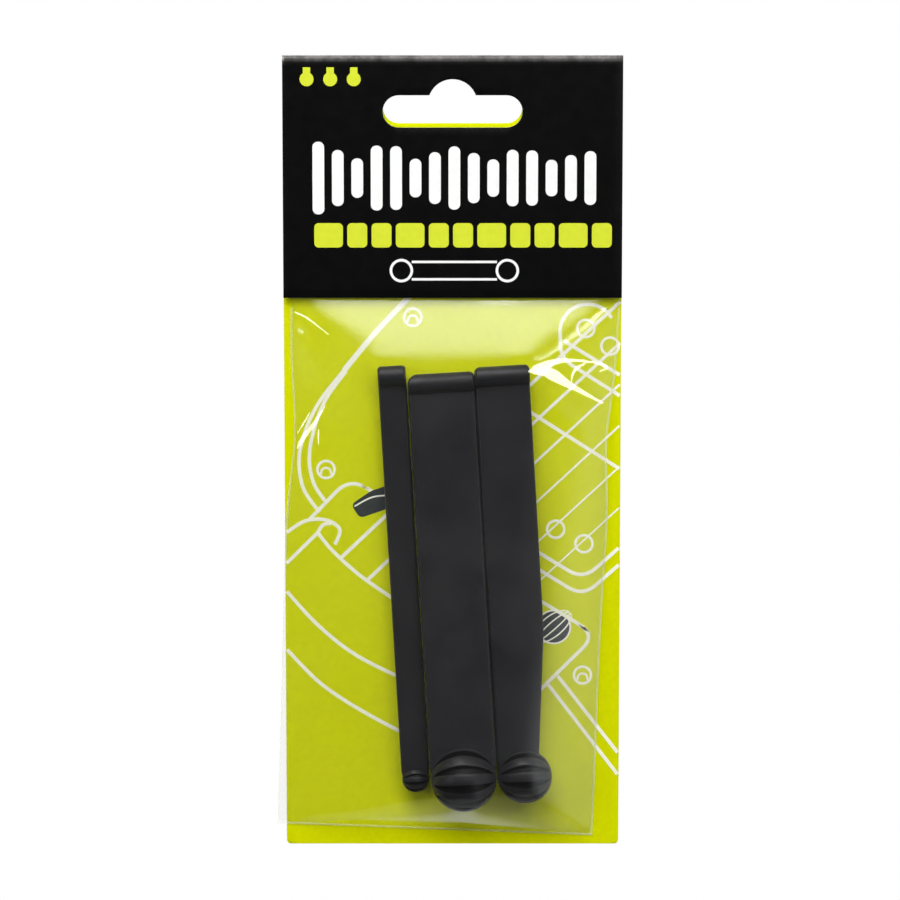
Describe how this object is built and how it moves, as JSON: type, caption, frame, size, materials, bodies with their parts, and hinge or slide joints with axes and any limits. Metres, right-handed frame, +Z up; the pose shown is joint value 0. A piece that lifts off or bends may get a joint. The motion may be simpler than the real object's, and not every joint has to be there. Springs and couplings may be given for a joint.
{
  "type": "hang pack of string dampeners",
  "caption": "Folded header card with a euro hang slot and a clear film bag holding flat rubber string dampeners that end in ribbed balls.",
  "frame": {"origin": "centre of the flap's hang slot, in the middle plane of the folded card", "axes": "+Z up along the hanging card, -Y out of its printed front, +X to the right as seen from the front"},
  "size_m": [0.0801, 0.017, 0.184],
  "materials": {
    "card_lime": "satin coated board",
    "card_black": "satin coated board",
    "glue": "dried glue",
    "film": "clear glossy film",
    "rubber": "matt moulded rubber"
  },
  "bodies": {
    "card": {"back_panel": "card_lime", "fold_crease": "card_black", "glue_strip_rear": "glue", "bag_top_tab": "film"},
    "flap": {"header_flap": "card_black", "glue_strip_front": "glue"},
    "bag": {"bag_front_film": "film", "bag_back_film": "film", "bag_side_weld_left": "film", "bag_side_weld_right": "film", "bag_bottom_fold": "film"},
    "small": {"dampener_small": "rubber"},
    "medium": {"dampener_medium": "rubber"},
    "large": {"dampener_large": "rubber"}
  },
  "joints": [
    {"name": "flap_fold", "type": "hinge", "parent": "card", "child": "flap", "pos_m": [0, 0, 0.01185], "axis": [-1, 0, 0], "range_deg": [0, 175], "deforming": ["fold_crease"]},
    {"name": "bag_swing", "type": "hinge", "parent": "card", "child": "bag", "pos_m": [0, 0.0003, -0.0432], "axis": [-1, 0, 0], "range_deg": [0, 75]},
    {"name": "small_slide", "type": "slide", "parent": "bag", "child": "small", "axis": [-0.0576, 0, 0.9983], "range_m": [0, 0.004]},
    {"name": "medium_slide", "type": "slide", "parent": "bag", "child": "medium", "axis": [-0.0576, 0, 0.9983], "range_m": [0, 0.004]},
    {"name": "large_slide", "type": "slide", "parent": "bag", "child": "large", "axis": [-0.0576, 0, 0.9983], "range_m": [0, 0.004]}
  ]
}
